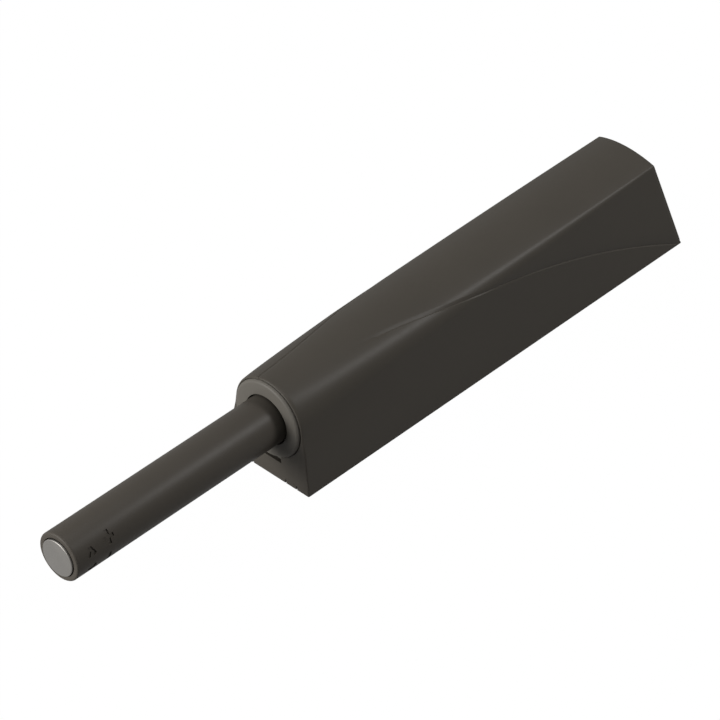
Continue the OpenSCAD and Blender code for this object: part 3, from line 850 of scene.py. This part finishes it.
class LATCH_OT_sleeve(Operator):
    """Build the cartridge sleeve with its rounded collar"""

    bl_idname = "latch.sleeve"
    bl_label = "Cartridge sleeve"

    def execute(self, context):
        s, notch = context.scene.latch_sleeve, context.scene.latch_housing
        front, back = SLEEVE_LOW.x, SLEEVE_HIGH.x
        mouth_r, pivot_x = TUBE_R + s.mouth_gap, WIRE_HIGH.x - LEG_R
        mouth = rounded((front + s.lip, mouth_r + s.lip), s.lip, 270, 180, 4)
        rim = rounded((front + s.edge, COLLAR_R - s.edge), s.edge, 180, 90, 10)
        barrel = [(SEAT_X, COLLAR_R), (SEAT_X, SLEEVE_R), (back, SLEEVE_R), (back, BORE_R)]
        mesh = bmesh.new()
        lathe(mesh, [(SEAT_X, mouth_r)] + mouth + rim + barrel + [(SEAT_X, BORE_R)], steps=160)
        obj = as_object(mesh, "sleeve_shell")

        def key_way(mesh):
            half, high = s.key_way_width / 2, AXIS_Z + BORE_R + s.key_way_depth
            block(mesh, (STOP_LOW.x, -half, AXIS_Z), (back + PAST, half, high))

        def leg_hole(mesh):
            post(mesh, (pivot_x, 0), s.leg_hole / 2, AXIS_Z - SLEEVE_R - PAST, AXIS_Z - PAST)

        def clip_groove(mesh):
            half, low, high = s.clip_width / 2, SLEEVE_R - s.clip_depth, SLEEVE_R + PAST
            first, last = pivot_x - half, pivot_x + half
            lathe(mesh, [(first, low), (first, high), (last, high), (last, low)], steps=96)

        def key(mesh):
            # Reaches up into the collar, below its mouth, and down just past the collar's seat
            half, high = notch.notch_width / 2 - s.key_side, AXIS_Z - mouth_r - 0.8
            low = AXIS_Z - SEAT_R - 0.02
            block(mesh, (s.key_end, -half, low), (notch.notch_depth - s.key_end, half, high))

        carve(obj, [cutter(key)], "UNION")
        carve(obj, [cutter(key_way), cutter(leg_hole), cutter(clip_groove)])
        dress(obj, "base", "sleeve plastic", ["cartridge_sleeve"])
        return {"FINISHED"}


# Fittings that keep their solids


CARRIED_OVER = {
    "mounting_plate": "housing plastic",
    "guide_bush": "natural acetal",
    "stop_ring": "black rubber",
    "magnet_back_plate": "drawn steel",
    "thread_nut": "turned brass",
    "adjusting_spindle": "drawn steel",
    "adjusting_ring": "natural acetal",
    "retaining_clip": "drawn steel",
    "disc_spring": "drawn steel",
    "carriage": "natural acetal",
    "spring_guide": "drawn steel",
    "end_cap": "housing plastic",
    "buffer_pad": "black rubber",
    "latch_wire": "drawn steel",
    "wire_clip": "drawn steel",
}


class LATCH_OT_fittings(Operator):
    """Give the inner fittings, which keep their solids, their materials"""

    bl_idname = "latch.fittings"
    bl_label = "Inner fittings"

    def execute(self, context):
        for node, finish in CARRIED_OVER.items():
            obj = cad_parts[node]
            if not obj.material_slots:
                obj.data.materials.append(finish_for(finish))
            for place in obj.material_slots:
                place.material = finish_for(finish)
        return {"FINISHED"}


class LATCH_OT_spring(Operator):
    """Wind the main spring from round wire, with closed end turns"""

    bl_idname = "latch.spring"
    bl_label = "Main spring"

    def execute(self, context):
        s = context.scene.latch_spring
        front, back = SPRING_LOW.x, SPRING_HIGH.x
        r = (SPRING_HIGH.z - SPRING_LOW.z) / 2 - s.wire_r
        sides, steps = 12, 24
        mesh = bmesh.new()
        ring = bmesh.ops.create_circle(
            mesh, cap_ends=False, segments=sides, radius=s.wire_r
        )["verts"]
        quarter = Matrix.Rotation(pi / 2, 3, "X")
        bmesh.ops.rotate(mesh, cent=(0, 0, 0), matrix=quarter, verts=ring)
        bmesh.ops.translate(mesh, vec=(front + s.wire_r, 0, r), verts=ring)
        geom = ring + list({e for v in ring for e in v.link_edges})

        def cap(geom):
            rim = [g for g in geom if isinstance(g, bmesh.types.BMEdge)]
            bmesh.ops.contextual_create(mesh, geom=rim)

        cap(geom)
        closed = s.closed * s.wire_r
        open_rise = (back - front - 2 * s.wire_r - 2 * closed) / (s.turns - 2)
        for turns, rise in ((1, closed), (s.turns - 2, open_rise), (1, closed)):
            geom = bmesh.ops.spin(
                mesh, geom=geom, cent=(0, 0, 0), axis=(1, 0, 0), dvec=(rise / steps, 0, 0),
                angle=2 * pi * turns, steps=steps * turns,
                use_merge=False, use_normal_flip=False, use_duplicate=False,
            )["geom_last"]
        cap(geom)
        bmesh.ops.remove_doubles(mesh, verts=mesh.verts, dist=MERGE)
        bmesh.ops.translate(mesh, vec=(0, 0, AXIS_Z), verts=mesh.verts)
        bmesh.ops.recalc_face_normals(mesh, faces=mesh.faces)
        obj = as_object(mesh, "coil_spring")
        dress(obj, "base", "drawn steel", ["main_spring"], sharp=60)
        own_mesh(obj)
        return {"FINISHED"}


# Stage


# The point that the lamps stand round, and their distance from it, in metres
MIDDLE = Vector((0.02, 0, 0.008))
LAMP_DISTANCE = 0.6


def area_light(name, azimuth, elevation, side, power):
    """A soft square lamp on a bearing from the middle of the latch, pointed at it."""
    data = bpy.data.lights.new(name, "AREA")
    data.size = side
    data.energy = power
    lamp = bpy.data.objects.new(name, data)
    bpy.context.scene.collection.objects.link(lamp)
    turn, rise = radians(azimuth), radians(elevation)
    away = LAMP_DISTANCE * Vector((cos(rise) * cos(turn), cos(rise) * sin(turn), sin(rise)))
    facing = (-away).to_track_quat("-Z", "Y").to_matrix().to_4x4()
    lamp.matrix_world = Matrix.Translation(MIDDLE + away) @ facing


class LATCH_OT_stage(Operator):
    """Set the camera, the lamps, the even light and the white floor"""

    bl_idname = "latch.stage"
    bl_label = "Stage"

    # Bearing from the X axis and height in degrees, and the side of the lamp in metres
    LAMPS = {
        "key": (150, 20, 0.3),
        "low": (165, 10, 0.3),
        "over": (0, 88, 0.3),
        "behind": (-40, 40, 0.16),
    }

    # The camera's place in metres and its three axes
    EYE = Vector((-0.3103875, -0.314188, 0.383121))
    RIGHT = Vector((0.6907, -0.7232, 0))
    UP = Vector((0.4589, 0.4383, 0.7730))
    FORWARD = Vector((0.5590, 0.5338, -0.6346))
    LENS, SENSOR = 205.74, 36

    def execute(self, context):
        s = context.scene.latch_stage
        scene = context.scene
        self.camera(scene)
        for name, (azimuth, elevation, side) in self.LAMPS.items():
            area_light(name, azimuth, elevation, side, getattr(s, name))
        world = bpy.data.worlds.new("even light")
        scene.world = world
        setting = Finish(world=world)
        even = setting.node("ShaderNodeBackground", {}, {"Strength": s.sky})
        white = setting.node("ShaderNodeBackground", {}, {"Color": (1, 1, 1)})
        shown = setting.node("ShaderNodeMixShader", {}, {0: setting.seen(), 1: even, 2: white})
        setting.finish(shown)
        self.floor()
        scene.view_settings.view_transform = "Standard"
        return {"FINISHED"}

    @classmethod
    def camera(cls, scene):
        data = bpy.data.cameras.new("camera")
        data.sensor_width = cls.SENSOR
        data.lens = cls.LENS
        data.clip_start, data.clip_end = 0.05, 10
        eye = bpy.data.objects.new("camera", data)
        scene.collection.objects.link(eye)
        turn = Matrix((cls.RIGHT, cls.UP, -cls.FORWARD)).transposed().to_4x4()
        eye.matrix_world = Matrix.Translation(cls.EYE) @ turn
        scene.camera = eye

    @staticmethod
    def floor():
        """White as the camera sees it, and a dull grey that keeps the shadow under it."""
        mesh = bmesh.new()
        bmesh.ops.create_grid(mesh, x_segments=1, y_segments=1, size=3000)
        obj = as_object(mesh, "floor")
        finish = Finish("white floor")
        dull = finish.node("ShaderNodeBsdfDiffuse", {}, {"Color": (0.2, 0.2, 0.2)})
        white = {"Color": (1, 1, 1), "Strength": 1.025}
        glow = finish.node("ShaderNodeEmission", {}, white)
        share = {0: finish.seen() * 0.97, 1: dull, 2: glow}
        finish.finish(finish.node("ShaderNodeMixShader", {}, share))
        obj.data.materials.append(finish.data)


# Panel and start


STEPS = (
    LATCH_OT_stage,
    LATCH_OT_housing,
    LATCH_OT_sleeve,
    LATCH_OT_plunger,
    LATCH_OT_magnet,
    LATCH_OT_spring,
    LATCH_OT_fittings,
)
SETTINGS = {
    "latch_housing": LatchHousingSettings,
    "latch_plunger": LatchPlungerSettings,
    "latch_sleeve": LatchSleeveSettings,
    "latch_spring": LatchSpringSettings,
    "latch_finish": LatchFinishSettings,
    "latch_stage": LatchStageSettings,
}


class LATCH_PT_panel(Panel):
    """Lists the pieces of the latch and their sizes"""

    bl_idname = "LATCH_PT_panel"
    bl_label = "Touch Latch"
    bl_space_type = "VIEW_3D"
    bl_region_type = "UI"
    bl_category = "Touch Latch"

    def draw(self, context):
        layout = self.layout
        for step in STEPS:
            layout.operator(step.bl_idname)
        for name in SETTINGS:
            group, box = getattr(context.scene, name), layout.box()
            for size in group.bl_rna.properties.keys():
                if size not in ("rna_type", "name"):
                    box.prop(group, size)


def register():
    for kind in (*SETTINGS.values(), *STEPS, LATCH_PT_panel):
        bpy.utils.register_class(kind)
    for name, kind in SETTINGS.items():
        setattr(bpy.types.Scene, name, PointerProperty(type=kind))


def unregister():
    for name in SETTINGS:
        delattr(bpy.types.Scene, name)
    for kind in reversed((*SETTINGS.values(), *STEPS, LATCH_PT_panel)):
        bpy.utils.unregister_class(kind)


def main():
    register()
    for step in STEPS:
        group, name = step.bl_idname.split(".")
        getattr(getattr(bpy.ops, group), name)()
    bpy.context.view_layer.update()


if __name__ == "__main__":
    main()
